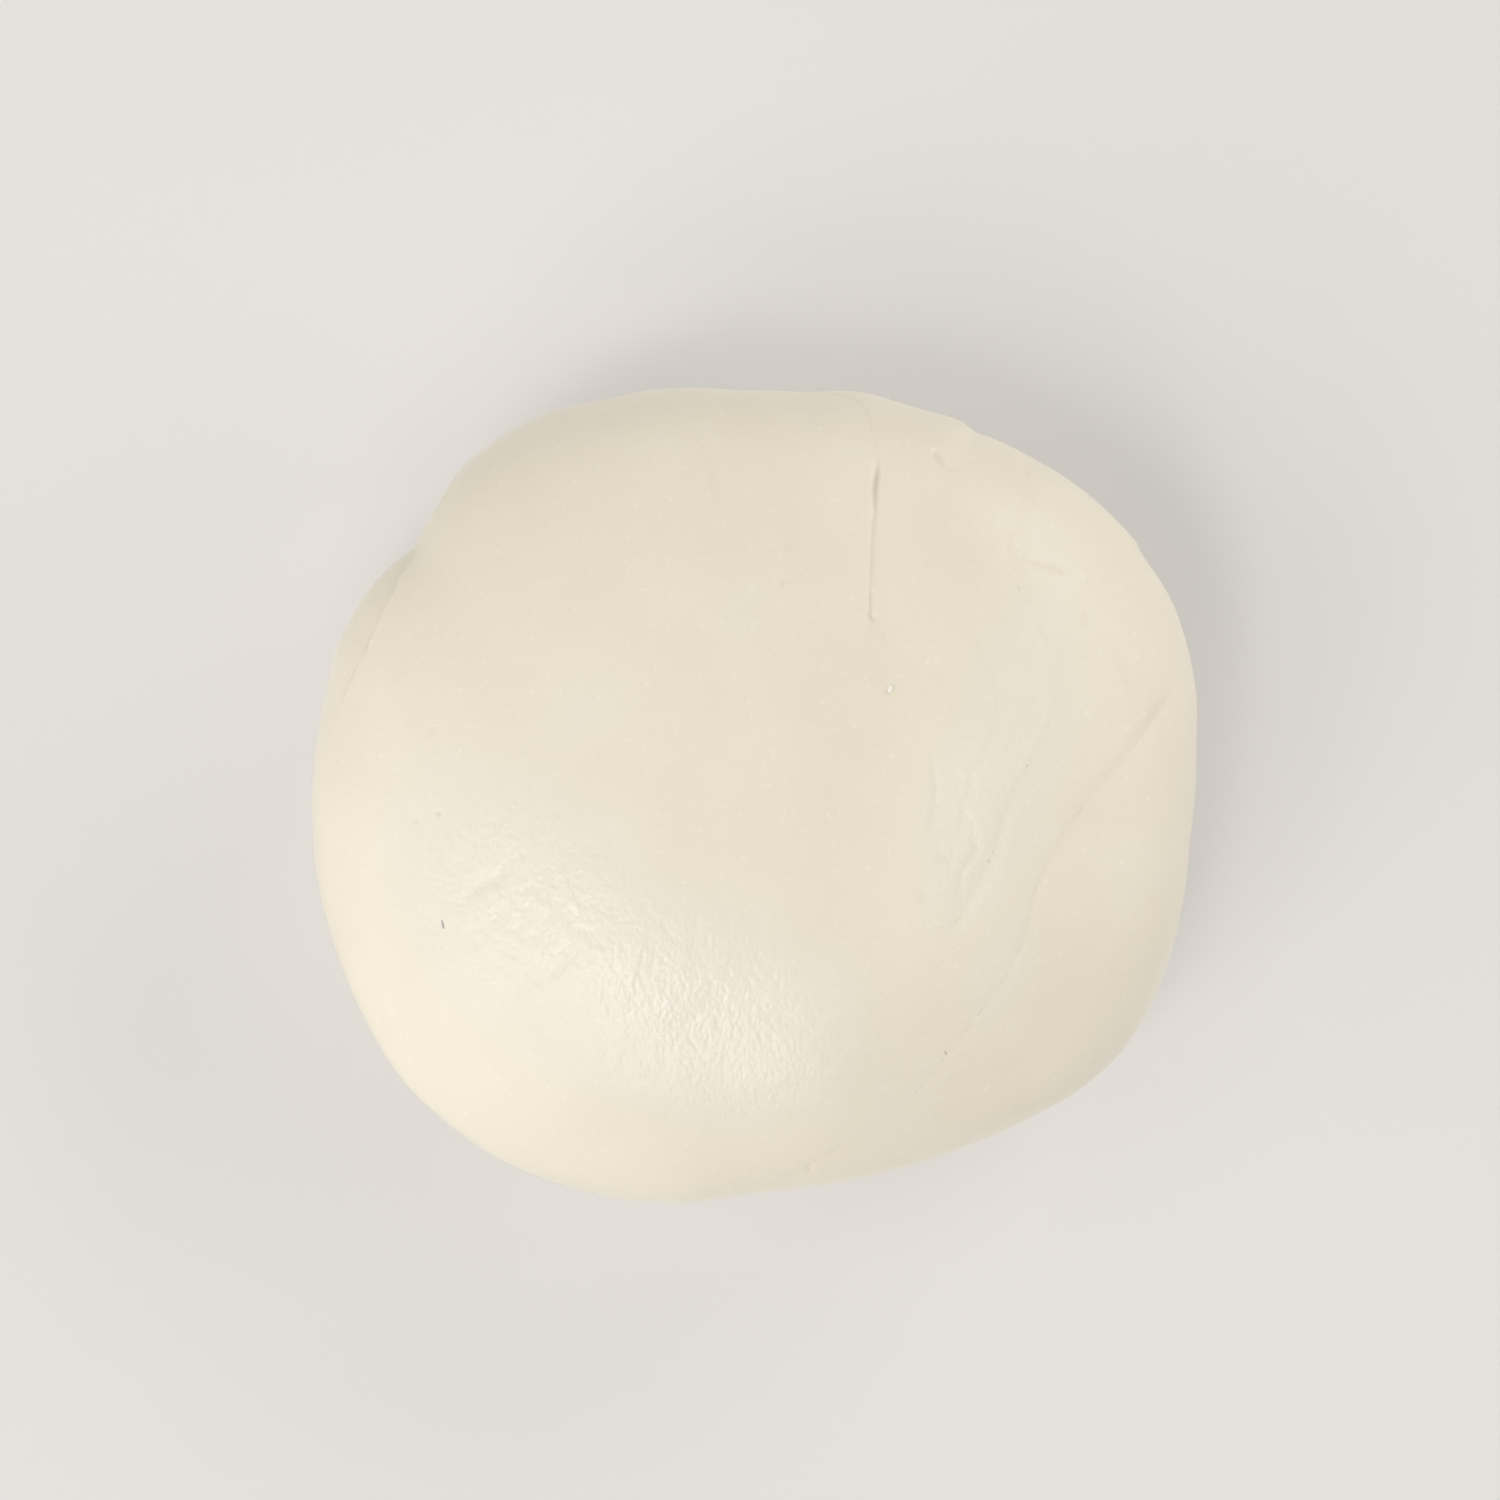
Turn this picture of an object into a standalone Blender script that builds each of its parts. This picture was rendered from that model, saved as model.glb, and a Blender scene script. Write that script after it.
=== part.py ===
"""Shaving soap puck: a hand-pressed lump of soft soap, 76 mm long, 70 mm wide and 31 mm high, lying flat.

The soap was kneaded and its folds were pressed together. The lump is parted only where one fold meets the
next: a main mass, a lobe tucked under its left edge, and two folds wrapped round its right side.

Metres, +Z up, +X along the length. The lump rests on z = 0 with the origin under the middle of its box.
"""
import math

import bmesh
import bpy
from mathutils import Matrix, Vector

MM = 0.001

# Driving dimensions
LENGTH = 76 * MM
WIDTH = 70 * MM
HEIGHT = 31 * MM
WIDEST_AT = 13 * MM  # height of the widest section
FULLNESS = 2.5  # 2 gives an ellipsoid, and more gives a flatter crown on fuller shoulders
SEAM_GAP = 0.3 * MM  # between two folds that are pressed together

# The soft form's cage: squares along each side of its cube, and how often the surface is subdivided
CAGE_SQUARES = 6
CAGE_LEVELS = 2

# The outline seen from above: degrees round from +X, and millimetres from the middle.
# The dip at 144 degrees is the notch between the main mass and the lobe tucked under it.
OUTLINE = [
    (6, 38.1), (27, 39.5), (45, 38.4), (60, 36.7), (75, 35.8), (90, 34.8), (105, 36.0), (127, 38.0),
    (144, 36.0), (157, 38.7), (172, 38.1), (200, 38.2), (220, 38.9), (240, 37.7), (255, 36.1), (272, 33.9),
    (285, 34.0), (300, 35.2), (315, 37.3), (328, 38.9), (345, 38.0),
]

# Shallow hollows and swells of the crown: middle (x, y), reach along x and y, and rise, in millimetres
CROWN_RELIEF = [
    (10, 14, 6, 12, -1.2),  # the dent that the crack lies in
    (9, -10, 7, 16, -0.7),  # the valley that runs on from it
    (21, -2, 6, 14, 0.5),  # the swell along the right of the crown
    (-13, -14, 16, 12, 0.5),  # the broad swell at the lower left
]

# Each seam is a smooth route over the crown in millimetres, run on past the outline at both ends, with its
# fold on the left of the way it runs. Its wall passes through that route at the height given, and leans by
# lean millimetres sideways for each one upwards. The corners close the cell well outside the lump.
LEFT_SEAM = {
    "route": [(-43, -4), (-37, 4), (-33.6, 9), (-31.4, 12.9), (-30, 17), (-28.6, 21.3), (-27, 29)],
    "corners": [(-27, 60), (-60, 60), (-60, -20)],
    "height": 20 * MM,
    "lean": (-0.4, 0.1),
}
RIGHT_SEAM = {
    "route": [
        (17, 38), (19.6, 30.7), (21.5, 25.5), (21.1, 19.5), (23.5, 12.9), (24.6, 7.9), (22.4, 2.4),
        (20.2, -0.9), (18.8, -4.8), (15.4, -11.7), (14.5, -19), (17, -26),
    ],
    "corners": [(60, -60), (60, 60), (17, 60)],
    "height": 27 * MM,
    "lean": (-0.3, -0.1),
}
LOWER_RIGHT_SEAM = {
    "route": [
        (46, 20), (35.4, 8.3), (31.7, 3.9), (25.3, -3), (23, -7.2), (21.7, -12.6), (17.7, -19.2),
        (11.4, -27.2), (4.7, -31.7), (-6, -42),
    ],
    "corners": [(-6, -60), (60, -60), (60, 20)],
    "height": 26 * MM,
    "lean": (0.1, -0.15),
}

# The crack in the upper right of the crown, from the upper edge inwards
CRACK_ROUTE = [(6.4, 37), (8.8, 33.2), (9.9, 30), (10.1, 26.6), (9.7, 21.1), (9.5, 14.9), (10.6, 12)]
CRACK_WIDTH = 0.6 * MM
CRACK_BOTTOM = 26 * MM  # above the rest face

CUTTER_REACH = 60 * MM  # how far a cell stands above and below its seam's height
CURVE_STEPS = 5  # straight pieces between two points of a route
SHARP_ANGLE = math.radians(35)

SOAP_COLOUR = (0.80, 0.75, 0.64)
SOAP_ROUGHNESS = 0.5


def clear_scene():
    for old in list(bpy.data.objects):
        bpy.data.objects.remove(old)


def collection(name):
    made = bpy.data.collections.new(name)
    bpy.context.scene.collection.children.link(made)
    return made


def soap(name, tint):
    """Cream soap, a touch lighter or darker by tint, so that neighbouring folds can be told apart."""
    material = bpy.data.materials.new(name)
    material.use_nodes = True
    shader = material.node_tree.nodes["Principled BSDF"]
    shader.inputs["Base Color"].default_value = (*(tint * part for part in SOAP_COLOUR), 1)
    shader.inputs["Roughness"].default_value = SOAP_ROUGHNESS
    shader.inputs["Metallic"].default_value = 0
    return material


def outline_radius(angle):
    """Distance from the middle to the outline at an angle in degrees, on a smooth closed curve."""
    count = len(OUTLINE)
    for i in range(count):
        start, end = OUTLINE[i][0], OUTLINE[(i + 1) % count][0]
        along = (angle - start) % 360
        width = (end - start) % 360
        if along <= width:
            before, here, there, after = (OUTLINE[(i + step) % count][1] for step in (-1, 0, 1, 2))
            t = along / width
            bend = 2 * before - 5 * here + 4 * there - after
            twist = 3 * (here - there) + after - before
            return MM * (here + 0.5 * t * (there - before + t * (bend + t * twist)))


def crown_rise(x, y):
    """Height of the hollows and swells over a point of the crown."""
    rise = 0
    for middle_x, middle_y, reach_x, reach_y, height in CROWN_RELIEF:
        away = ((x / MM - middle_x) / reach_x) ** 2 + ((y / MM - middle_y) / reach_y) ** 2
        rise += height * MM * math.exp(-away)
    return rise


def on_lump(corner):
    """Moves a point on the surface of a cube of side 2 to the lump's surface, which is widest at z = 0."""
    side = math.hypot(corner.x, corner.y)
    pull = (side**FULLNESS + abs(corner.z) ** FULLNESS) ** (-1 / FULLNESS)
    radius = outline_radius(math.degrees(math.atan2(corner.y, corner.x)))
    x = corner.x * pull * radius
    y = corner.y * pull * radius
    z = corner.z * pull * (HEIGHT - WIDEST_AT)
    return Vector((x, y, z + max(corner.z, 0) * crown_rise(x, y)))


def mesh_from(made):
    """The mesh of an object with its modifiers, or of a curve, and the object is removed."""
    bpy.context.scene.collection.objects.link(made)
    mesh = bpy.data.meshes.new_from_object(made.evaluated_get(bpy.context.evaluated_depsgraph_get()))
    bpy.data.objects.remove(made)
    return mesh


def soft_form():
    """The lump before it is trimmed: a shaped cage under a Subdivision Surface."""
    cage = bmesh.new()
    bmesh.ops.create_cube(cage, size=2)
    bmesh.ops.subdivide_edges(cage, edges=cage.edges, cuts=CAGE_SQUARES - 1, use_grid_fill=True)
    for vertex in cage.verts:
        vertex.co = on_lump(vertex.co)
    mesh = bpy.data.meshes.new("lump")
    cage.to_mesh(mesh)
    cage.free()
    holder = bpy.data.objects.new("lump", mesh)
    soften = holder.modifiers.new("soften", "SUBSURF")
    soften.levels = CAGE_LEVELS
    soften.render_levels = CAGE_LEVELS
    return mesh_from(holder)


def trim_flat(mesh):
    """Cuts the form off flat where it rests, and closes the cut with one face."""
    trim = bmesh.new()
    trim.from_mesh(mesh)
    cut = bmesh.ops.bisect_plane(
        trim,
        geom=trim.verts[:] + trim.edges[:] + trim.faces[:],
        plane_co=(0, 0, -WIDEST_AT),
        plane_no=(0, 0, -1),
        clear_outer=True,
    )
    rim = [item for item in cut["geom_cut"] if isinstance(item, bmesh.types.BMEdge)]
    bmesh.ops.contextual_create(trim, geom=rim)
    bmesh.ops.recalc_face_normals(trim, faces=trim.faces)
    trim.to_mesh(mesh)
    trim.free()


def fit_to_box(mesh):
    """Scales and moves the mesh to the driving dimensions, resting on z = 0 under the middle of its box."""
    low = Vector([min(v.co[axis] for v in mesh.vertices) for axis in range(3)])
    high = Vector([max(v.co[axis] for v in mesh.vertices) for axis in range(3)])
    size = high - low
    scale = Matrix.Diagonal((LENGTH / size.x, WIDTH / size.y, HEIGHT / size.z, 1))
    foot = Vector(((low.x + high.x) / 2, (low.y + high.y) / 2, low.z))
    mesh.transform(scale @ Matrix.Translation(-foot))


def beside(route, sideways):
    """The same route moved sideways in millimetres, to the right of the way it runs."""
    moved = []
    for i, (x, y) in enumerate(route):
        before = Vector(route[max(i - 1, 0)])
        after = Vector(route[min(i + 1, len(route) - 1)])
        along = (after - before).normalized()
        moved.append((x + along.y * sideways, y - along.x * sideways))
    return moved


def upright_prism(name, smooth, corners, reach):
    """A prism about z = 0 on a closed outline: smooth through the first points, then straight by the corners."""
    curve = bpy.data.curves.new(name, "CURVE")
    curve.dimensions = "2D"
    curve.fill_mode = "BOTH"
    curve.extrude = reach
    curve.resolution_u = CURVE_STEPS
    spline = curve.splines.new("BEZIER")
    spline.bezier_points.add(len(smooth) + len(corners) - 1)
    spline.use_cyclic_u = True
    handles = ["AUTO"] * len(smooth) + ["VECTOR"] * len(corners)
    for point, (x, y), handle in zip(spline.bezier_points, smooth + corners, handles):
        point.co = (x * MM, y * MM, 0)
        point.handle_left_type = handle
        point.handle_right_type = handle
    mesh = mesh_from(bpy.data.objects.new(name, curve))
    weld = bmesh.new()
    weld.from_mesh(mesh)
    bmesh.ops.remove_doubles(weld, verts=weld.verts, dist=0.01 * MM)
    bmesh.ops.recalc_face_normals(weld, faces=weld.faces)
    weld.to_mesh(mesh)
    weld.free()
    return mesh


def cutter(mesh, helpers):
    made = bpy.data.objects.new(mesh.name, mesh)
    made.hide_render = True
    made.display_type = "WIRE"
    helpers.objects.link(made)
    return made


def seam_cell(name, seam, helpers, clearance=0):
    """A cell that holds all the soap on the fold's side of a seam, grown past the seam by the clearance."""
    route = beside(seam["route"], clearance / MM)
    mesh = upright_prism(name, route, seam["corners"], CUTTER_REACH)
    mesh.transform(Matrix.Shear("XY", 4, seam["lean"]))
    mesh.transform(Matrix.Translation((0, 0, seam["height"])))
    return cutter(mesh, helpers)


def crack_blade(helpers):
    """A thin upright blade along the crack, standing on the crack's bottom."""
    half = CRACK_WIDTH / 2 / MM
    there = beside(CRACK_ROUTE, half)
    back = beside(CRACK_ROUTE, -half)[::-1]
    reach = HEIGHT - CRACK_BOTTOM
    mesh = upright_prism("crack_blade", there + back[1:-1], [], reach)
    mesh.transform(Matrix.Translation((0, 0, CRACK_BOTTOM + reach)))
    return cutter(mesh, helpers)


def fold(name, lump, material, parts, inside, outside):
    """One fold: the lump's share inside its own cells and outside the others."""
    mesh = lump.copy()
    mesh.name = name
    mesh.materials.append(material)
    mesh.shade_smooth()
    mesh.set_sharp_from_angle(angle=SHARP_ANGLE)
    made = bpy.data.objects.new(name, mesh)
    parts.objects.link(made)
    steps = [("INTERSECT", tool) for tool in inside] + [("DIFFERENCE", tool) for tool in outside]
    for operation, tool in steps:
        modifier = made.modifiers.new(tool.name, "BOOLEAN")
        modifier.operation = operation
        modifier.object = tool
        modifier.solver = "EXACT"


clear_scene()
parts = collection("shaving_soap_puck")
helpers = collection("seam_cutters")

lump = soft_form()
trim_flat(lump)
fit_to_box(lump)

left = seam_cell("left_cell", LEFT_SEAM, helpers)
left_clear = seam_cell("left_clearance", LEFT_SEAM, helpers, clearance=SEAM_GAP)
right = seam_cell("right_cell", RIGHT_SEAM, helpers)
right_clear = seam_cell("right_clearance", RIGHT_SEAM, helpers, clearance=SEAM_GAP)
lower = seam_cell("lower_right_cell", LOWER_RIGHT_SEAM, helpers)
lower_clear = seam_cell("lower_right_clearance", LOWER_RIGHT_SEAM, helpers, clearance=SEAM_GAP)
crack = crack_blade(helpers)

fold("main_mass", lump, soap("soap_main", 1.0), parts, [], [left_clear, right_clear, lower_clear, crack])
fold("left_tuck", lump, soap("soap_left", 0.97), parts, [left], [])
fold("right_fold", lump, soap("soap_right", 1.02), parts, [right], [lower_clear])
fold("lower_right_fold", lump, soap("soap_lower_right", 0.98), parts, [lower], [])
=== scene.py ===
import math

import bmesh
import bpy
import numpy as np
from mathutils import Matrix, Vector, noise


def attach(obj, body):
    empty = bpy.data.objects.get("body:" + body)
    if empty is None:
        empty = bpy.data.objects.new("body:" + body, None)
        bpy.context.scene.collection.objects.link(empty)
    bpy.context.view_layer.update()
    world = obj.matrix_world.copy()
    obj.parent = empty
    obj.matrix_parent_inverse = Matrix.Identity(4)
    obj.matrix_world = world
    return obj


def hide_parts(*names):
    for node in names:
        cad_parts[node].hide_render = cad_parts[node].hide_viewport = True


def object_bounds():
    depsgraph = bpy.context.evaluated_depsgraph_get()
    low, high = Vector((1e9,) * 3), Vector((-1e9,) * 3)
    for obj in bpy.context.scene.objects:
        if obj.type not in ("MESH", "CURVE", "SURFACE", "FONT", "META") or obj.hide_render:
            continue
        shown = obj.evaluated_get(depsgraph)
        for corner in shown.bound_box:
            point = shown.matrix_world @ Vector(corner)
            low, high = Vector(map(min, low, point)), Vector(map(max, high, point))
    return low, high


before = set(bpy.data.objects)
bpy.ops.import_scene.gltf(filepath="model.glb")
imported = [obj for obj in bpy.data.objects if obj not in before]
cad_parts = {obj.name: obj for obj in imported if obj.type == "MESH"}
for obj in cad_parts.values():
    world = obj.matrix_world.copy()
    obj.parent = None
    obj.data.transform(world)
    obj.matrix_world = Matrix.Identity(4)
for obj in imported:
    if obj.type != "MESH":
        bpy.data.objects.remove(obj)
cad_low, cad_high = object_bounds()

# ------------------------------------------------------------------------------------------------
# The kneaded lump. The puck is one batch of soft soap, rolled and pressed by hand into a flat-footed
# round. Its whole skin is shaped here first, in millimetres from the middle of its foot, so that the
# folds that are cut from it afterwards run on into each other.
# ------------------------------------------------------------------------------------------------
MM = 0.001
WIDEST_AT = 13  # height of the widest section
CROWN_ABOVE = 18  # from there to the top
FULLNESS = 2.5  # 2 is an ellipsoid, and more has fuller shoulders
SKIN_CELLS = 180  # small squares along each side of the crown
SKIN_ROWS = 48  # and down the flank
FOOT_STRETCH = 1.32  # how far the flank runs on down, so that the trim at the foot cuts only flank
SHOULDER = 2 ** (-1 / FULLNESS)
EASED_OVER = 61  # degrees that the outline is smoothed over away from the rim

# The outline from above: degrees round from +X, and the distance from the middle. The dip at 144
# degrees is the notch between the main mass and the lobe that is tucked under it.
OUTLINE = [
    (5.9, 38.2), (12.8, 38.95), (22.6, 39.55), (27.4, 39.5), (30, 39.33), (32.3, 39.27),
    (33.1, 39.4), (34.4, 39.35), (36.5, 39.18), (40.9, 38.8), (45, 38.4), (48.4, 38.0),
    (53, 37.4), (56.5, 36.95), (58.5, 36.65), (60.8, 36.8), (63.5, 36.6), (65.5, 36.3),
    (69.5, 36.0), (74.1, 35.9), (78.5, 35.5), (83.3, 34.95), (92, 34.9), (99, 35.5),
    (106.1, 36.1), (110.6, 36.35), (115.6, 37.0), (119.7, 37.45), (124.4, 37.7), (128.9, 37.75),
    (133.3, 37.5), (137.4, 37.1), (141.3, 36.6), (144.4, 36.4), (149.2, 37.3), (152.9, 37.8),
    (157.2, 38.0), (161.3, 38.1), (168.9, 37.8), (180.2, 38.0), (189.9, 38.2), (197.7, 38.2),
    (206.8, 38.35), (214.2, 38.7), (220.6, 38.85), (227.8, 38.6), (236, 38.1), (244.9, 37.2),
    (251.4, 36.5), (260.1, 35.5), (267, 34.5), (274.1, 33.95), (283.5, 34.05), (292.8, 34.5),
    (302.2, 35.4), (311.6, 36.7), (319.3, 37.95), (326.9, 38.7), (333.8, 38.55), (339.8, 38.3),
    (349.2, 37.85), (355.6, 37.7),
]

# Broad hollows and swells of the crown: middle (x, y), reach along x and y, and rise
CROWN_RELIEF = [
    (11, 12, 5.5, 12, -1.4),
    (9, -7, 7, 12, -0.7),
    (21, -2, 6, 14, 0.5),
    (-13, -14, 16, 12, 0.5),
    (6.5, -21, 6, 10, 0.8),
    (23, -24, 10, 9, -1.6),
]


def smooth_line(points, steps):
    """A smooth line through all the points, in so many short steps from each point to the next."""
    points = np.array(points, float)
    ends = np.vstack([2 * points[0] - points[1], points, 2 * points[-1] - points[-2]])
    before, here, there, after = (ends[i : len(ends) - 3 + i, None] for i in range(4))
    t = np.linspace(0, 1, steps, endpoint=False)[None, :, None]
    bend = 2 * before - 5 * here + 4 * there - after
    twist = 3 * (here - there) + after - before
    line = here + 0.5 * t * (there - before + t * (bend + t * twist))
    return np.vstack([line.reshape(-1, points.shape[1]), points[-1]])


def outline_radius(angle, outward):
    """Distance from the middle to the outline, for angles in degrees. The outline's small dips are full
    at the rim, where outward is 1, and die away towards the middle."""
    turns = [(degrees + turn, radius) for turn in (-360, 0, 360) for degrees, radius in OUTLINE]
    line = smooth_line(turns, 8)
    every_degree = np.interp(np.arange(-180, 540), line[:, 0], line[:, 1])
    window = np.hanning(EASED_OVER)
    eased = np.convolve(every_degree, window / window.sum(), mode="same")
    broad = np.interp(angle, np.arange(-180, 540), eased)
    exact = np.interp(angle, line[:, 0], line[:, 1])
    return broad + (exact - broad) * outward**8


def crown_rise(x, y):
    """Height of the broad hollows and swells over points of the crown."""
    rise = np.zeros(len(x))
    for middle_x, middle_y, reach_x, reach_y, height in CROWN_RELIEF:
        rise += height * np.exp(-(((x - middle_x) / reach_x) ** 2) - ((y - middle_y) / reach_y) ** 2)
    return rise


def places_of(skin):
    return np.array([vertex.co for vertex in skin.verts])


def put_back(skin, places):
    for vertex, place in zip(skin.verts, places):
        vertex.co = place


def rolled_lump():
    """The bare lump: a finely squared cube pressed out to the outline, before anything marks it."""
    skin = bmesh.new()
    bmesh.ops.create_cube(skin, size=2)
    under = [face for face in skin.faces if face.normal.z < -0.5]
    bmesh.ops.delete(skin, geom=under, context="FACES_ONLY")
    for axis, cuts in ((2, SKIN_ROWS - 1), (0, SKIN_CELLS - 1), (1, SKIN_CELLS - 1)):
        across = [edge for edge in skin.edges if abs(edge.verts[0].co[axis] - edge.verts[1].co[axis]) > 1]
        bmesh.ops.subdivide_edges(skin, edges=across, cuts=cuts, use_grid_fill=True)

    cube = places_of(skin)
    even = SHOULDER * cube[:, :2]
    x, y = (even / (1 - np.abs(even) ** FULLNESS) ** (1 / FULLNESS)).T
    z = np.where(cube[:, 2] < 0, cube[:, 2] * FOOT_STRETCH, cube[:, 2])
    side = np.hypot(x, y)
    pull = (side**FULLNESS + np.abs(z) ** FULLNESS) ** (-1 / FULLNESS)
    angle = np.degrees(np.arctan2(y, x)) % 360
    radius = pull * outline_radius(angle, side * pull)
    x, y = x * radius, y * radius
    height = z * pull * CROWN_ABOVE + np.clip(z, 0, None) * crown_rise(x, y)
    put_back(skin, np.column_stack([x, y, height + WIDEST_AT]))
    return skin


def stand_flat(skin):
    """Trims the foot flat, closes it, and fits the lump to the box of the CAD frame."""
    everything = skin.verts[:] + skin.edges[:] + skin.faces[:]
    trim = bmesh.ops.bisect_plane(
        skin, geom=everything, plane_co=(0, 0, 0), plane_no=(0, 0, -1), clear_outer=True
    )
    rim = [item for item in trim["geom_cut"] if isinstance(item, bmesh.types.BMEdge)]
    bmesh.ops.contextual_create(skin, geom=rim)
    places = places_of(skin)
    low, high = places.min(axis=0), places.max(axis=0)
    wanted_low, wanted_high = np.array(cad_low) / MM, np.array(cad_high) / MM
    put_back(skin, wanted_low + (places - low) * (wanted_high - wanted_low) / (high - low))


skin = rolled_lump()
stand_flat(skin)

# ------------------------------------------------------------------------------------------------
# The seams, where two folds of the soft soap were pressed together, and the creases, cracks and
# dimples that the kneading left in one fold. A line's points are (x, y, depth), and a seam's fold
# lies on its left. Each seam's wall passes through its line at one height and leans by lean
# millimetres sideways for each one upwards.
# ------------------------------------------------------------------------------------------------
LINE_STEPS = 6
LEFT_SEAM = {
    "line": [
        (-43, -4, 0), (-36.6, 4, 0), (-34.5, 8, 0.04), (-32.8, 11.2, 0.16), (-31.1, 14.5, 0.26),
        (-29.9, 18, 0.32), (-28.5, 21.6, 0.4), (-27, 29, 0.42), (-26.4, 36, 0.35), (-26, 46, 0.3),
    ],
    "height": 20,
    "lean": (-0.4, 0.1),
    "width": 0.8,
}
RIGHT_SEAM = {
    "line": [
        (17, 38, 0.05), (19.6, 30.7, 0.05), (21.5, 25.5, 0.04), (21.1, 19.5, 0.04), (24.2, 12.9, 0.03),
        (24.9, 7.9, 0.07), (24.1, 4.8, 0.11), (22.8, 2.1, 0.16), (21.4, -0.9, 0.18), (20.4, -4.4, 0.17),
        (18.4, -8.3, 0.12), (16.4, -12.2, 0.04), (15.2, -19, 0), (17, -26, 0),
    ],
    "height": 27,
    "lean": (-0.3, -0.1),
    "width": 0.75,
}
LOWER_RIGHT_SEAM = {
    "line": [
        (46, 20, 0), (38, 12, 0), (35.9, 9, 0), (34, 6.2, 0.14), (31.7, 3.9, 0.17), (28.4, 0.8, 0.14),
        (25.3, -3, 0.15), (23, -7.2, 0.16), (21.7, -12.6, 0.08), (17.7, -19.2, 0.04), (11.4, -27.2, 0.04),
        (4.7, -31.7, 0.05), (-6, -42, 0.05),
    ],
    "height": 26,
    "lean": (0.1, -0.15),
    "width": 0.65,
}

# Creases and cracks: the line's points, and how wide it is from the bottom to the lip
CREASES = [
    ([(6.4, 34.1, 0.08), (8.8, 33.2, 0.08), (9.8, 30.5, 0.05), (10.15, 28, 0.06), (10.15, 26.8, 0.28),
      (10.0, 25.4, 0.32), (9.95, 24, 0.2), (9.75, 21.5, 0.16), (9.65, 18.6, 0.18), (9.6, 17.4, 0.12),
      (9.6, 15.9, 0.24), (9.7, 14.8, 0.12)], 0.22),
    ([(9.6, 14.8, 0.15), (10.6, 13.4, 0.07), (12.2, 11, 0)], 0.4),
    ([(9.6, 14.8, 0.12), (9.3, 12.9, 0.05), (8.8, 11.3, 0)], 0.4),
    ([(15.1, 28.6, 0.2), (15.5, 28.0, 0.16), (16.1, 27.5, 0.1), (17.2, 27.2, 0)], 0.28),
    ([(22, 19.5, 0.02), (23.9, 19, 0.1), (25.4, 18.6, 0.13)], 0.26),
    ([(27.5, 15.1, 0.1), (27.3, 14.1, 0.12)], 0.3),
    ([(16.9, 16.1, 0.01), (18.9, 11.2, 0.05), (20, 7.6, 0.07), (19.4, 4.8, 0.07), (17.9, 1.6, 0.06),
      (16.9, -2.7, 0.06), (16.1, -5.6, 0.04)], 0.35),
    ([(29.7, 12.1, 0.04), (31, 9.6, 0.08), (32.1, 7.2, 0.05)], 0.4),
    ([(35.3, 9.2, 0.02), (34.2, 7.2, 0.13), (33.2, 5.8, 0.08), (32.2, 4.6, 0)], 0.9),
    ([(-9.7, 33.9, 0.04), (-7, 32.1, 0.05), (-4.9, 29.6, 0.06), (-3.8, 27, 0.05), (-3.6, 24.4, 0.03),
      (-4, 20.6, 0)], 0.35),
    ([(14.2, 19.6, 0.1), (14.3, 18, 0.05), (14.4, 16, 0.02)], 0.28),
    ([(-16.8, -15.2, 0.03), (-15.4, -13.6, 0.07), (-14.2, -12.4, 0.03)], 0.35),
    ([(-19.9, -16.9, 0.02), (-19, -16, 0.06), (-18.3, -15.3, 0.02)], 0.4),
    ([(-24.2, -9.2, 0.05), (-22.8, -7.6, 0.12), (-21, -6.6, 0.1), (-20.3, -5.2, 0.03)], 0.6),
    ([(14.6, 3, 0.05), (14.9, 0.5, 0.1), (14.5, -2.5, 0.05)], 0.35),
    ([(17.9, -2.6, 0.05), (18.2, -4.4, 0.12), (17.2, -6, 0.1), (16.9, -8.4, 0.04)], 0.4),
]

# Pin holes and small pits: middle (x, y), width and depth
PITS = [
    (-27.9, -2.0, 0.24, 0.12), (-26.05, -1.35, 0.22, 0.13), (-26.5, 5.5, 0.24, 0.14),
    (2.4, 17.6, 0.3, 0.22), (2.7, 20.6, 0.45, 0.12), (2.3, 23.6, 0.3, 0.08), (15.6, -5.1, 0.5, 0.1),
    (4.7, -31.4, 0.35, 0.1), (-18.6, 10.6, 0.7, 0.06), (13.9, -8.2, 0.5, 0.1),
]

# Rubbed bands with crinkled, glossier skin, where a highlight is also painted into the colour:
# middle (x, y), reach along and across, turn in degrees, strength
CRINKLED = [
    (-19, -9, 12, 9, -38, 1.0),
    (-6, -17, 15, 9, -22, 1.0),
    (19.3, 1.2, 12, 4.4, 74, 0.9),
    (20, -14, 6, 4, 60, 0.4),
    (-14, 7, 9, 4, 25, 0.3),
    (-1, 15, 5, 4, 60, 0.28),
]
DRAWN_WITHIN = 2.5  # how far to each side of a crease the skin can move
EVERYWHERE = 200  # further than any place is from any line
FINE_BESIDE = 0.9  # how far to each side of a line the skin is finer
FINE_FROM = 0.42  # how crinkled the skin is where it starts to be finer
FINE_ABOVE = 2  # the skin close to the foot stays coarse


def crinkled(places):
    """How strongly the skin is crinkled at each place, from 0 to 1."""
    strength = np.zeros(len(places))
    for middle_x, middle_y, along, across, turn, most in CRINKLED:
        x, y = places[:, 0] - middle_x, places[:, 1] - middle_y
        cos, sin = math.cos(math.radians(turn)), math.sin(math.radians(turn))
        away = ((x * cos + y * sin) / along) ** 2 + ((y * cos - x * sin) / across) ** 2
        strength = np.maximum(strength, most * np.exp(-away))
    return strength


def upright(places, seam):
    """The places slid along the seam's lean to the seam's own height."""
    above = places[:, 2:] - seam["height"]
    return np.hstack([places[:, :2] - above * seam["lean"], places[:, 2:]])


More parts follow.
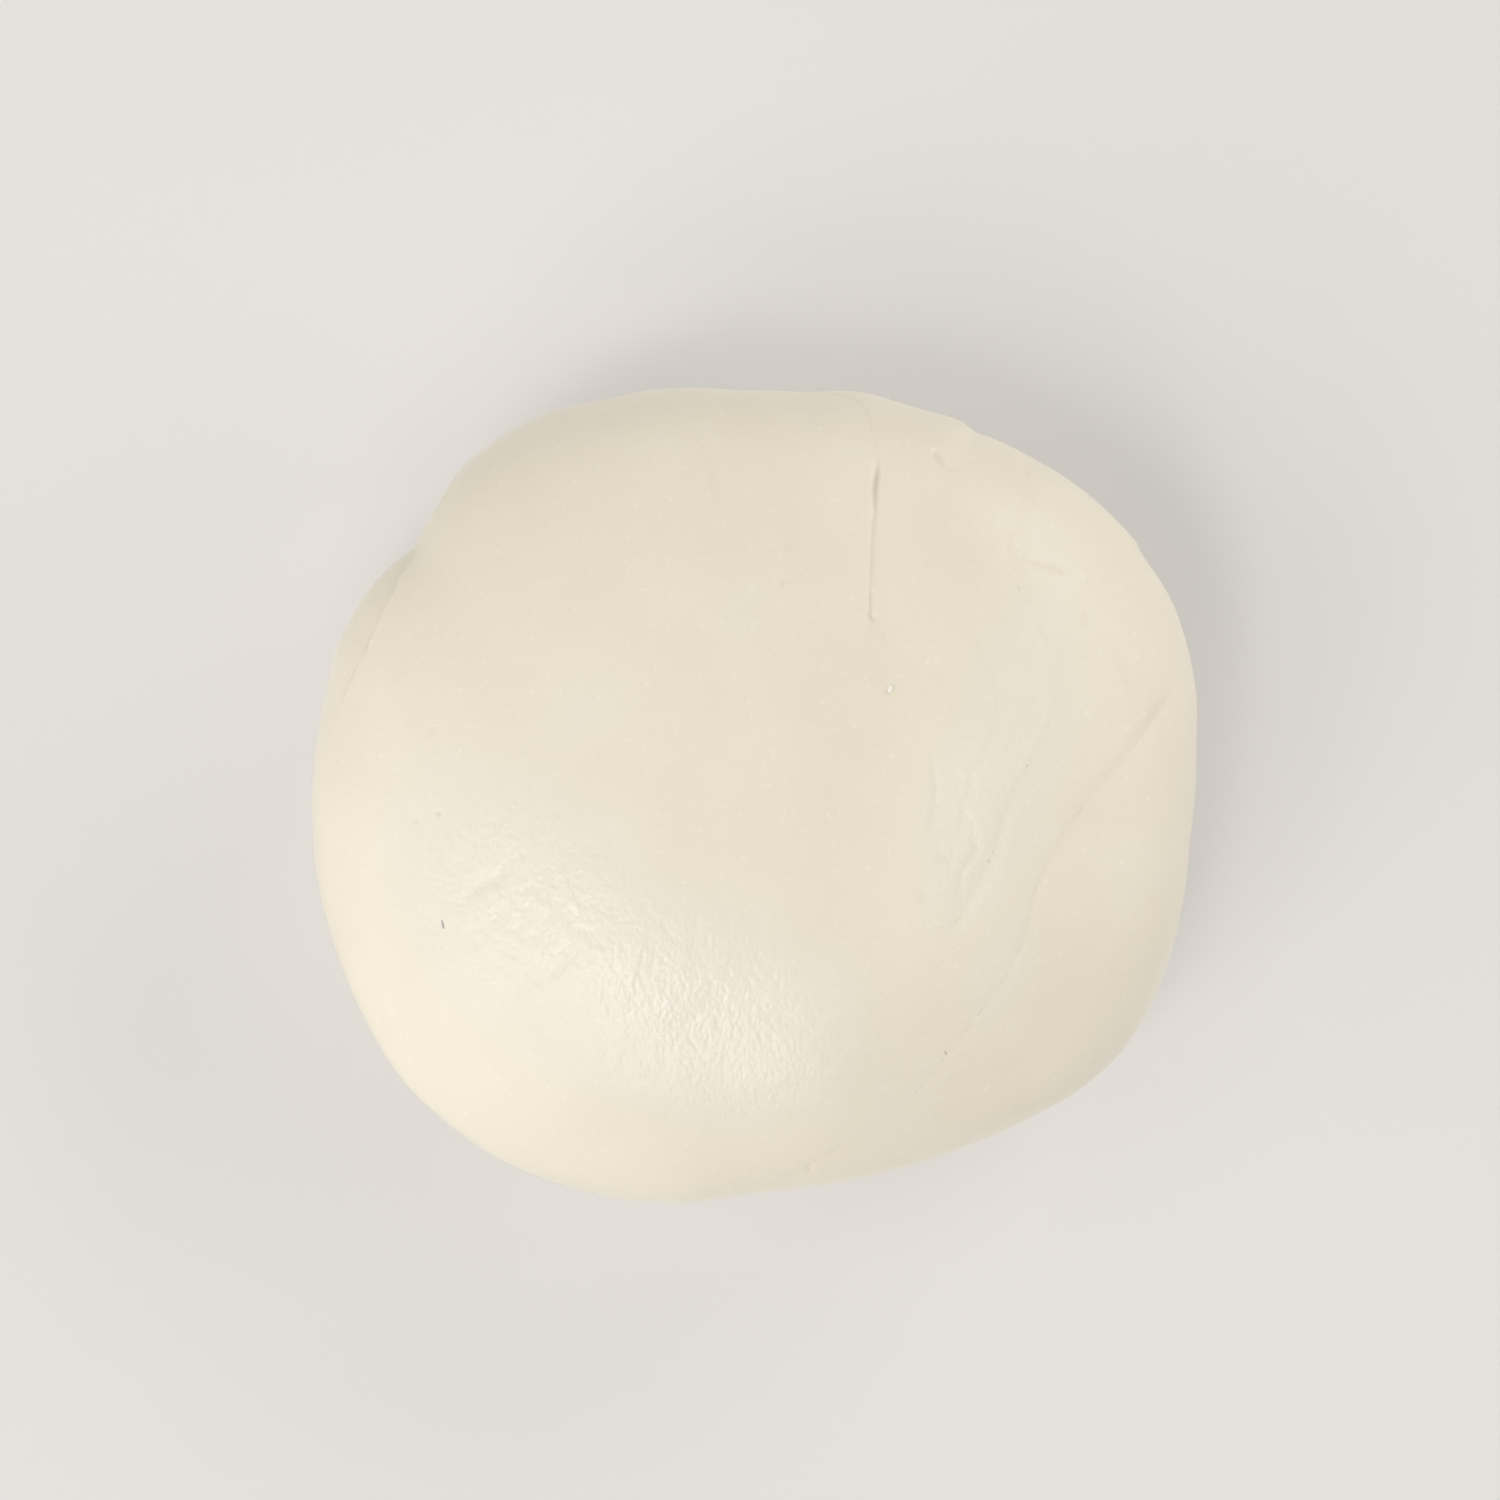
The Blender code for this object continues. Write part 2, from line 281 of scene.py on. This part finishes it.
def beside(line, places, within=DRAWN_WITHIN):
    """How far each place is to the left of the line, and how deep the line is nearest to it."""
    low = line[:, :2].min(axis=0) - within
    high = line[:, :2].max(axis=0) + within
    near = np.flatnonzero(np.all((places[:, :2] > low) & (places[:, :2] < high), axis=1))
    spots = places[near, :2]
    best = np.full(len(near), 1e3)
    side = np.ones(len(near))
    deep = np.zeros(len(near))
    for start, end in zip(line[:-1], line[1:]):
        run = end[:2] - start[:2]
        away = spots - start[:2]
        t = np.clip(away @ run / (run @ run), 0, 1)
        gap = np.hypot(*(away - t[:, None] * run).T)
        closer = gap < best
        best[closer] = gap[closer]
        deep[closer] = (start[2] + t * (end[2] - start[2]))[closer]
        side[closer] = np.where(run[0] * away[:, 1] < run[1] * away[:, 0], -1, 1)[closer]
    left = np.full(len(places), 1e3)
    depth = np.zeros(len(places))
    left[near] = best * side
    depth[near] = np.clip(deep, 0, None)
    return left, depth


def refine(skin):
    """Quarters the squares of the skin close to the lines and where it is crinkled."""
    places = places_of(skin)
    close = (crinkled(places) > FINE_FROM) & (places[:, 2] > WIDEST_AT)
    marked = [seam_side(seam, places) for seam in SEAMS] + [beside(line, places) for line in crease_lines]
    for left, depth in marked:
        close |= (np.abs(left) < FINE_BESIDE) & (depth > 0.01) & (places[:, 2] > FINE_ABOVE)
    skin.verts.index_update()
    edges = [edge for edge in skin.edges if close[edge.verts[0].index] and close[edge.verts[1].index]]
    bmesh.ops.subdivide_edges(skin, edges=edges, cuts=1, use_grid_fill=True)


def score(skin, left, nearest=0.04, longest=1.2):
    """Cuts the skin where left, one value for each vertex, passes through zero."""
    skin.verts.index_update()
    cut = [vertex for vertex in skin.verts if abs(left[vertex.index]) < nearest]
    crossed = []
    for edge in skin.edges:
        first, second = (left[vertex.index] for vertex in edge.verts)
        apart = min(abs(first), abs(second)) >= nearest
        if first * second < 0 and apart and abs(first - second) < longest:
            crossed.append((edge, first / (first - second)))
    for edge, share in crossed:
        cut.append(bmesh.utils.edge_split(edge, edge.verts[0], share)[1])
    bmesh.ops.connect_verts(skin, verts=cut)


def seam_line(seam):
    return smooth_line(seam["line"], LINE_STEPS)


def seam_side(seam, places):
    """How far each place is to the left of the seam, and how deep the seam is there."""
    return beside(seam_line(seam), upright(places, seam), within=EVERYWHERE)


SEAMS = (LEFT_SEAM, RIGHT_SEAM, LOWER_RIGHT_SEAM)
crease_lines = [smooth_line(points, LINE_STEPS) for points, width in CREASES]
refine(skin)
for line in crease_lines:
    score(skin, beside(line, places_of(skin))[0])
for seam in (LOWER_RIGHT_SEAM, LEFT_SEAM, RIGHT_SEAM):
    score(skin, seam_side(seam, places_of(skin))[0], longest=EVERYWHERE)

# Each face is marked with its fold: the right fold ends where the lower right fold covers it
MAIN, LEFT, RIGHT, LOWER = 0, 1, 2, 3
fold_layer = skin.faces.layers.int.new("fold")
middles = np.array([face.calc_center_median() for face in skin.faces])
in_left, in_right, in_lower = (seam_side(seam, middles)[0] > 0 for seam in SEAMS)
fold_of_face = np.select([in_lower, in_left, in_right], [LOWER, LEFT, RIGHT], MAIN)
for face, fold in zip(skin.faces, fold_of_face):
    face[fold_layer] = int(fold)

# A sliver that has all its edges but one on a seam goes over to the fold beyond the seam
for face in skin.faces:
    around = [other[fold_layer] for edge in face.edges for other in edge.link_faces if other is not face]
    beyond = [fold for fold in around if fold != face[fold_layer]]
    if len(beyond) == len(face.edges) - 1:
        face[fold_layer] = beyond[0]

# ------------------------------------------------------------------------------------------------
# The worked surface. Palms and fingers left soft lips along the seams, fine crinkles where the drying
# skin was rubbed, and slow dents everywhere. All of it is pressed into the skin along its own normal.
# ------------------------------------------------------------------------------------------------
TUCK_STEP = 0.6  # how much lower the tuck lies than the lip that stands over it
TUCK_SPREAD = 2.2  # how far the step reaches into the tuck
LIP_BEAD = 0.3  # the swelling of that lip, as a share of the seam's depth

CRINKLE_DEPTH = 0.05
EVEN_CRINKLE = 0.05  # the share of the crinkle that is everywhere
WRINKLE = Vector((0.34, 0.72, 0.72))  # the size of one wrinkle, which runs along y
WRINKLE_SEED = 7  # sets how the wrinkles bend, so that every run gives the same skin
SLOW_DENT = 0.14  # in dents about a fingertip across
SMALL_DENT = 0.05  # in dents a few millimetres across

# Depths at which the shade painted into a mark is at its darkest
DARK_SEAM = 0.6
DARK_CREASE = 0.45
DARK_PIT = 0.4


def lip(left, depth, width):
    """The drop from a rounded lip into a pressed seam: steep at the bottom, level at the lip."""
    inward = np.clip(1 - np.abs(left) / width, 0, 1)
    return depth * (1 - np.sqrt(1 - inward**2))


def groove(left, depth, width):
    """A soft rounded groove."""
    return depth * np.exp(-((left / width) ** 2))


def crinkle(place):
    """Short crooked wrinkles: ridges of a noise that is drawn out along y and bent by a slower one."""
    bent = place + noise.noise_vector(place / 3.4) * 1.1
    drawn = Vector((bent.x / WRINKLE.x, bent.y / WRINKLE.y, bent.z / WRINKLE.z))
    ridge = 0.7 - 2 * abs(noise.noise(drawn))
    return ridge + 0.8 * noise.noise(bent / 1.3)


noise.seed_set(WRINKLE_SEED)
skin.normal_update()
places = places_of(skin)
normals = np.array([vertex.normal for vertex in skin.verts])
gloss = crinkled(places)
rise = np.zeros(len(places))
# How much shade is painted into the colour at each place: along the seams, creases and pits, more where
# they are deeper
crease_shade = np.zeros(len(places))
for seam in SEAMS:
    left, depth = seam_side(seam, places)
    if seam is RIGHT_SEAM:
        depth = np.where(seam_side(LOWER_RIGHT_SEAM, places)[0] > 0, 0, depth)
    fade = np.clip((places[:, 2] - 2) / 6, 0, 1)
    if seam is LEFT_SEAM:
        tucked = np.clip(depth / 0.3, 0, 1) * TUCK_STEP * np.exp(-np.abs(left) / TUCK_SPREAD)
        ledge = np.clip((left + 0.3) / 0.7, 0, 1)
        bead = np.where(left < 0, LIP_BEAD * groove(left + 0.5, depth, 0.35), 0)
        rise += fade * (bead - lip(left, depth, seam["width"]) - tucked * ledge**2 * (3 - 2 * ledge))
    else:
        depth = depth * fade
        rise -= groove(left, depth, seam["width"])
        crease_shade = np.maximum(crease_shade, groove(left, np.clip(depth / DARK_SEAM, 0, 1), 0.3))
for line, (points, width) in zip(crease_lines, CREASES):
    left, depth = beside(line, places)
    depth = depth * np.clip((places[:, 2] - WIDEST_AT) / 2, 0, 1)
    rise -= groove(left, depth, width)
    crease_shade = np.maximum(crease_shade, groove(left, np.clip(depth / DARK_CREASE, 0, 1), width))
for middle_x, middle_y, width, depth in PITS:
    away = np.hypot(places[:, 0] - middle_x, places[:, 1] - middle_y) / width
    pit = np.where(places[:, 2] > WIDEST_AT, np.exp(-(away**2)), 0)
    rise -= depth * pit
    crease_shade = np.maximum(crease_shade, pit * depth / DARK_PIT)
for index, place in enumerate(places):
    here = Vector(place)
    slow = noise.noise(here / 11) * SLOW_DENT + noise.noise(here / 4.5) * SMALL_DENT
    fine = crinkle(here) * CRINKLE_DEPTH * (EVEN_CRINKLE + gloss[index])
    rise[index] += slow + fine
rise *= np.clip(places[:, 2] / 1.5, 0, 1)
put_back(skin, places + normals * rise[:, None])
# The shade painted into the marks, kept for the material
crease_shade_layer = skin.verts.layers.float.new("crease_shade")
# How glossy the skin is, kept for the material, which also paints a highlight into the colour there
gloss_layer = skin.verts.layers.float.new("gloss")
for vertex, shade_here, shine in zip(skin.verts, crease_shade, gloss):
    vertex[crease_shade_layer] = float(shade_here)
    vertex[gloss_layer] = float(shine)

# ------------------------------------------------------------------------------------------------
# The walls between the folds. Two folds that were pressed together share one wall, which runs from
# the seam down through the soap, and each fold is closed with it.
# ------------------------------------------------------------------------------------------------
WALL_LEFT, WALL_RIGHT, WALL_LOWER_MAIN, WALL_LOWER_RIGHT = 11, 12, 13, 14
SKIN_CORNERS = 9  # a face with more corners than this is part of the foot


def parting(skin, one, other):
    """The edges of the skin between two folds."""
    return [e for e in skin.edges if {face[fold_layer] for face in e.link_faces} == {one, other}]


def build_wall(skin, edges, seam, mark):
    """Fills a closed ring of edges with a wall, laid out flat along the seam while it is triangulated."""
    ring = list({vertex for edge in edges for vertex in edge.verts})
    true_places = np.array([vertex.co for vertex in ring])
    line = seam_line(seam)
    level = upright(true_places, seam)[:, :2]
    lengths = np.concatenate([[0], np.cumsum(np.hypot(*np.diff(line[:, :2], axis=0).T))])
    nearest = np.argmin(((level[:, None] - line[None, :, :2]) ** 2).sum(axis=2), axis=1)
    step = np.gradient(line[:, :2], axis=0)[nearest]
    step /= np.hypot(*step.T)[:, None]
    along = lengths[nearest] + ((level - line[nearest, :2]) * step).sum(axis=1)
    for vertex, distance, place in zip(ring, along, true_places):
        vertex.co = (distance, 0, place[2])
    made = bmesh.ops.contextual_create(skin, geom=edges)["faces"]
    made = bmesh.ops.triangulate(skin, faces=made)["faces"]
    for face in made:
        face[fold_layer] = mark
    for vertex, place in zip(ring, true_places):
        vertex.co = place


meeting = [v for v in skin.verts if {f[fold_layer] for f in v.link_faces} >= {MAIN, RIGHT, LOWER}]
meeting.sort(key=lambda vertex: vertex.co.z)  # three folds meet low on the right flank and on the crown
left_edges = parting(skin, LEFT, MAIN)
right_edges = parting(skin, RIGHT, MAIN)
lower_main_edges = parting(skin, LOWER, MAIN)
lower_right_edges = parting(skin, LOWER, RIGHT)
hidden_edge = skin.edges.new((meeting[0], meeting[-1]))
build_wall(skin, left_edges, LEFT_SEAM, WALL_LEFT)
build_wall(skin, right_edges + [hidden_edge], RIGHT_SEAM, WALL_RIGHT)
build_wall(skin, lower_main_edges + [hidden_edge], LOWER_RIGHT_SEAM, WALL_LOWER_MAIN)
build_wall(skin, lower_right_edges + [hidden_edge], LOWER_RIGHT_SEAM, WALL_LOWER_RIGHT)


def fold_object(name, fold, walls, material):
    """One fold as a closed piece: its share of the skin and the walls that it shares. Its edges are sharp
    where the skin meets a wall, and round the foot, whose faces have many corners."""
    made = skin.copy()
    shares = made.faces.layers.int["fold"]
    others = [face for face in made.faces if face[shares] not in (fold, *walls)]
    bmesh.ops.delete(made, geom=others, context="FACES")
    bmesh.ops.recalc_face_normals(made, faces=made.faces)
    for face in made.faces:
        face.smooth = True
    for edge in made.edges:
        kinds = {face[shares] > LOWER for face in edge.link_faces}
        at_foot = any(len(face.verts) > SKIN_CORNERS for face in edge.link_faces)
        edge.smooth = len(kinds) == 1 and not at_foot
    bmesh.ops.scale(made, vec=(MM, MM, MM), verts=made.verts)
    mesh = bpy.data.meshes.new(name)
    made.to_mesh(mesh)
    made.free()
    mesh.materials.append(material)
    piece = bpy.data.objects.new(name, mesh)
    bpy.context.scene.collection.objects.link(piece)
    return piece


# ------------------------------------------------------------------------------------------------
# The soap: cream and waxy, with a dull bloom where it dried, and a soft gloss where it was rubbed.
# There a highlight is painted into the colour as a whiter tone. Shade is painted into the seams,
# creases and pits as a darker colour. The grain is fine. All four folds are of the same batch.
# ------------------------------------------------------------------------------------------------
PALE = (0.752, 0.693, 0.563)
DEEP = (0.736, 0.677, 0.544)
# The darker colour that paints shade into the seams, creases and pits
PAINTED_SHADE_COLOUR = (0.55, 0.49, 0.38)
SPECKLED = (0.85, 0.80, 0.68)
# The whiter colour that paints the highlight on the glossy bands
PAINTED_HIGHLIGHT = (0.80, 0.762, 0.675)
GRAIN_HEIGHT = 0.02
RUBBED_HEIGHT = 0.035


def soap(name, tint):
    """The soap of one fold, a touch lighter or darker by its tint."""
    material = bpy.data.materials.new(name)
    material.use_nodes = True
    nodes, links = material.node_tree.nodes, material.node_tree.links
    shader = nodes["Principled BSDF"]
    shader.inputs["IOR"].default_value = 1.45
    shader.inputs["Specular IOR Level"].default_value = 0.5
    shader.inputs["Sheen Weight"].default_value = 0.25
    shader.inputs["Sheen Roughness"].default_value = 0.4

    where = nodes.new("ShaderNodeTexCoord")
    centred = nodes.new("ShaderNodeMapping")
    centred.inputs["Location"].default_value = (0, 0, -WIDEST_AT * MM)
    links.new(where.outputs["Object"], centred.inputs["Vector"])

    drawn_out = nodes.new("ShaderNodeMapping")
    drawn_out.inputs["Scale"].default_value = (1, 0.45, 0.45)
    links.new(centred.outputs["Vector"], drawn_out.inputs["Vector"])

    def cloud(size, detail, across=centred):
        made = nodes.new("ShaderNodeTexNoise")
        made.inputs["Scale"].default_value = 1 / (size * MM)
        made.inputs["Detail"].default_value = detail
        links.new(across.outputs["Vector"], made.inputs["Vector"])
        return made.outputs["Fac"]

    def spread(value, low, high, to_low, to_high):
        made = nodes.new("ShaderNodeMapRange")
        made.inputs["From Min"].default_value = low
        made.inputs["From Max"].default_value = high
        made.inputs["To Min"].default_value = to_low
        made.inputs["To Max"].default_value = to_high
        links.new(value, made.inputs["Value"])
        return made.outputs["Result"]

    def colour_mix(share, first, second):
        made = nodes.new("ShaderNodeMix")
        made.data_type = "RGBA"
        links.new(share, made.inputs["Factor"])
        for socket, value in (("A", first), ("B", second)):
            plug = next(s for s in made.inputs if s.name == socket and s.type == "RGBA")
            if isinstance(value, tuple):
                plug.default_value = (*value, 1)
            else:
                links.new(value, plug)
        return next(s for s in made.outputs if s.type == "RGBA")

    def math_of(kind, first, second):
        made = nodes.new("ShaderNodeMath")
        made.operation = kind
        for plug, value in zip(made.inputs, (first, second)):
            if isinstance(value, (int, float)):
                plug.default_value = value
            else:
                links.new(value, plug)
        return made.outputs["Value"]

    def kept(name):
        made = nodes.new("ShaderNodeAttribute")
        made.attribute_name = name
        return made.outputs["Fac"]

    def tinted(colour):
        return tuple(tint * part for part in colour)

    mottle = spread(cloud(9, 3), 0.35, 0.65, 0, 1)
    body = colour_mix(mottle, tinted(PALE), tinted(DEEP))
    speckle = spread(cloud(0.6, 2), 0.62, 0.75, 0, 0.35)
    body = colour_mix(speckle, body, tinted(SPECKLED))
    # Painted highlight: the colour is whitened where the skin is glossy
    highlight_share = math_of("MULTIPLY", kept("gloss"), 0.5)
    body = colour_mix(highlight_share, body, tinted(PAINTED_HIGHLIGHT))
    # Painted shade: the colour is darker in the seams, creases and pits
    shade_share = math_of("MULTIPLY", kept("crease_shade"), 0.35)
    links.new(colour_mix(shade_share, body, tinted(PAINTED_SHADE_COLOUR)), shader.inputs["Base Color"])

    dull = spread(cloud(1.4, 3), 0.3, 0.7, 0.42, 0.52)
    glint = spread(cloud(0.4, 1, drawn_out), 0.55, 0.72, 0.17, 0.25)
    rubbed = math_of("MULTIPLY", kept("gloss"), glint)
    links.new(math_of("SUBTRACT", dull, rubbed), shader.inputs["Roughness"])

    grain = math_of("MULTIPLY", cloud(0.28, 2), GRAIN_HEIGHT)
    fine = math_of("MULTIPLY", cloud(0.32, 2, drawn_out), kept("gloss"))
    height = math_of("ADD", grain, math_of("MULTIPLY", fine, RUBBED_HEIGHT))
    bump = nodes.new("ShaderNodeBump")
    bump.inputs["Strength"].default_value = 1
    bump.inputs["Distance"].default_value = MM
    links.new(height, bump.inputs["Height"])
    links.new(bump.outputs["Normal"], shader.inputs["Normal"])
    return material


# ------------------------------------------------------------------------------------------------
# The main mass: the body of the puck and most of its crown, of solid soap. The other folds are
# pressed against it.
# ------------------------------------------------------------------------------------------------
main_walls = (WALL_LEFT, WALL_RIGHT, WALL_LOWER_MAIN)
main_mass = fold_object("soap_main_mass", MAIN, main_walls, soap("main_soap", 1.0))
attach(main_mass, "root")
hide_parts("main_mass")

# ------------------------------------------------------------------------------------------------
# The left tuck: a lobe of the same soap that the main mass was folded over. It shows under the upper
# left edge, a little lower than the lip above it.
# ------------------------------------------------------------------------------------------------
left_tuck = fold_object("soap_left_tuck", LEFT, (WALL_LEFT,), soap("left_tuck_soap", 0.99))
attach(left_tuck, "root")
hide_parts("left_tuck")

# ------------------------------------------------------------------------------------------------
# The right fold: more of the same soap, wrapped round the upper right flank and pressed down over the
# crown. It tapers off between the seams on its two sides.
# ------------------------------------------------------------------------------------------------
right_walls = (WALL_RIGHT, WALL_LOWER_RIGHT)
right_fold = fold_object("soap_right_fold", RIGHT, right_walls, soap("right_fold_soap", 1.0))
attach(right_fold, "root")
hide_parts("right_fold")

# ------------------------------------------------------------------------------------------------
# The lower right fold: the same soap again, pressed on over the lower right corner. It covers the end of
# the right fold and sticks to the main mass along the longest seam.
# ------------------------------------------------------------------------------------------------
lower_walls = (WALL_LOWER_MAIN, WALL_LOWER_RIGHT)
lower_right_fold = fold_object("soap_lower_right_fold", LOWER, lower_walls, soap("lower_right_soap", 1.0))
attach(lower_right_fold, "root")
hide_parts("lower_right_fold")

# ------------------------------------------------------------------------------------------------
# Two specks in the main mass: a dark fibre fleck that was kneaded in at the lower left, and one pale
# grain of undissolved wax that stands in the crown. Each is sunk into the skin by most of its height.
# ------------------------------------------------------------------------------------------------
# Middle (x, y), half sizes, turn in degrees, how far it stands out, colour and roughness
SPECKS = {
    "soap_dark_fleck": ((-25.75, -10.6), (0.11, 0.42, 0.09), 14, 0.05, (0.4, 0.35, 0.36), 0.55),
    "soap_pale_grain": ((11.1, 9.0), (0.19, 0.3, 0.18), -10, 0.24, (0.97, 0.94, 0.84), 0.3),
}


def speck_object(name, middle, half_sizes, turn, stands_out, colour, roughness):
    """A small uneven bead, set in the skin of the crown."""
    crown = [vertex for vertex in skin.verts if vertex.co.z > WIDEST_AT]
    seat = min(crown, key=lambda vertex: (vertex.co.xy - Vector(middle)).length)
    bead = bmesh.new()
    bmesh.ops.create_icosphere(bead, subdivisions=3, radius=1)
    for vertex in bead.verts:
        vertex.co *= 1 + 0.25 * noise.noise(vertex.co * 1.7)
    bmesh.ops.scale(bead, vec=half_sizes, verts=bead.verts)
    tilt = Vector((0, 0, 1)).rotation_difference(seat.normal).to_matrix()
    turned = tilt @ Matrix.Rotation(math.radians(turn), 3, "Z")
    bmesh.ops.rotate(bead, matrix=turned, verts=bead.verts)
    bmesh.ops.translate(bead, vec=seat.co + seat.normal * (stands_out - half_sizes[2]), verts=bead.verts)
    bmesh.ops.scale(bead, vec=(MM, MM, MM), verts=bead.verts)
    mesh = bpy.data.meshes.new(name)
    bead.to_mesh(mesh)
    bead.free()
    mesh.shade_smooth()
    material = bpy.data.materials.new(name)
    material.use_nodes = True
    nodes, links = material.node_tree.nodes, material.node_tree.links
    shader = nodes["Principled BSDF"]
    shader.inputs["Roughness"].default_value = roughness
    where = nodes.new("ShaderNodeTexCoord")
    patches = nodes.new("ShaderNodeTexNoise")
    patches.inputs["Scale"].default_value = 1 / (0.3 * MM)
    shades = nodes.new("ShaderNodeValToRGB")
    shades.color_ramp.elements[0].color = (*(0.75 * part for part in colour), 1)
    shades.color_ramp.elements[1].color = (*colour, 1)
    links.new(where.outputs["Object"], patches.inputs["Vector"])
    links.new(patches.outputs["Fac"], shades.inputs["Fac"])
    links.new(shades.outputs["Color"], shader.inputs["Base Color"])
    mesh.materials.append(material)
    piece = bpy.data.objects.new(name, mesh)
    bpy.context.scene.collection.objects.link(piece)
    return piece


for name, facts in SPECKS.items():
    speck = speck_object(name, *facts)
    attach(speck, "root")

# ------------------------------------------------------------------------------------------------
# The table top that the puck lies on, a plain pale sheet of frosted acrylic that is lit a little from
# beneath, so that the shadows on it stay pale. It isn't part of the puck.
# ------------------------------------------------------------------------------------------------
FLOOR_SIZE = 4.0
FLOOR_BELOW = 0.02 * MM  # how far the sheet lies under the foot
FLOOR_GLOW = 0.27

floor_bm = bmesh.new()
bmesh.ops.create_grid(floor_bm, x_segments=1, y_segments=1, size=FLOOR_SIZE / 2)
bmesh.ops.translate(floor_bm, vec=(0, 0, -FLOOR_BELOW), verts=floor_bm.verts)
floor_mesh = bpy.data.meshes.new("floor")
floor_bm.to_mesh(floor_mesh)
floor_bm.free()
floor = bpy.data.objects.new("floor", floor_mesh)
bpy.context.scene.collection.objects.link(floor)
sheet = bpy.data.materials.new("frosted_sheet")
sheet.use_nodes = True
sheet_shader = sheet.node_tree.nodes["Principled BSDF"]
sheet_shader.inputs["Base Color"].default_value = (0.471, 0.447, 0.425, 1)
sheet_shader.inputs["Roughness"].default_value = 0.9
sheet_shader.inputs["Specular IOR Level"].default_value = 0.2
sheet_shader.inputs["Emission Color"].default_value = (1.0, 0.984, 0.967, 1)
sheet_shader.inputs["Emission Strength"].default_value = FLOOR_GLOW
floor_mesh.materials.append(sheet)

# ------------------------------------------------------------------------------------------------
# Light and camera: large softboxes low round the puck, strongest behind it on the right, and one high on
# the left. Smaller ones higher up at the near left draw the gloss on the rubbed crown. The room looks
# paler than the light it gives, and the camera hangs straight above.
# ------------------------------------------------------------------------------------------------
LAMP_DISTANCE = 0.9
ROOM_GLOW = 0.215  # what the room adds to the light
ROOM_SEEN = 0.8  # how pale the room looks, also in the gloss
CAMERA_OVER = (-0.345, 3.84)  # where on the table the camera hangs over
CAMERA_ABOVE = 359.2  # from the puck's widest section up to the camera

# Azimuth in degrees round from +X, elevation, width, height and power
SOFTBOXES = {
    "key_low": (225, 22, 0.5, 0.5, 2.4),
    "key_high": (230, 64, 0.26, 0.26, 1.66),
    "key_left": (215, 44, 0.26, 0.26, 0.8),
    "front": (256, 46, 0.3, 0.26, 1.1),
    "right": (0, 22, 0.5, 0.5, 2.3),
    "far_right": (45, 22, 0.5, 0.5, 3.15),
    "far": (90, 22, 0.5, 0.5, 1.2),
    "left": (180, 22, 0.5, 0.5, 1.46),
    "left_high": (180, 50, 0.5, 0.5, 0.78),
}

world = bpy.data.worlds.new("studio")
world.use_nodes = True
room = world.node_tree.nodes["Background"]
room.inputs["Color"].default_value = (1.0, 0.985, 0.97, 1)
seen = world.node_tree.nodes.new("ShaderNodeLightPath")
looked_at = world.node_tree.nodes.new("ShaderNodeMath")
looked_at.operation = "MAXIMUM"
strength = world.node_tree.nodes.new("ShaderNodeMapRange")
strength.inputs["To Min"].default_value = ROOM_GLOW
strength.inputs["To Max"].default_value = ROOM_SEEN
world.node_tree.links.new(seen.outputs["Is Camera Ray"], looked_at.inputs[0])
world.node_tree.links.new(seen.outputs["Is Glossy Ray"], looked_at.inputs[1])
world.node_tree.links.new(looked_at.outputs["Value"], strength.inputs["Value"])
world.node_tree.links.new(strength.outputs["Result"], room.inputs["Strength"])
bpy.context.scene.world = world

for name, (azimuth, elevation, width, height, power) in SOFTBOXES.items():
    lamp = bpy.data.lights.new(name, "AREA")
    lamp.shape = "RECTANGLE"
    lamp.size = width
    lamp.size_y = height
    lamp.energy = power
    a, e = math.radians(azimuth), math.radians(elevation)
    toward = Vector((math.cos(a) * math.cos(e), math.sin(a) * math.cos(e), math.sin(e)))
    box = bpy.data.objects.new(name, lamp)
    box.location = toward * LAMP_DISTANCE
    box.rotation_euler = toward.to_track_quat("Z", "Y").to_euler()
    bpy.context.scene.collection.objects.link(box)

view = bpy.context.scene.view_settings
view.view_transform = "Standard"

camera_data = bpy.data.cameras.new("camera")
camera_data.lens = 100
camera_data.sensor_width = 36
camera = bpy.data.objects.new("camera", camera_data)
camera.location = Vector((*CAMERA_OVER, WIDEST_AT + CAMERA_ABOVE)) * MM
bpy.context.scene.collection.objects.link(camera)
bpy.context.scene.camera = camera
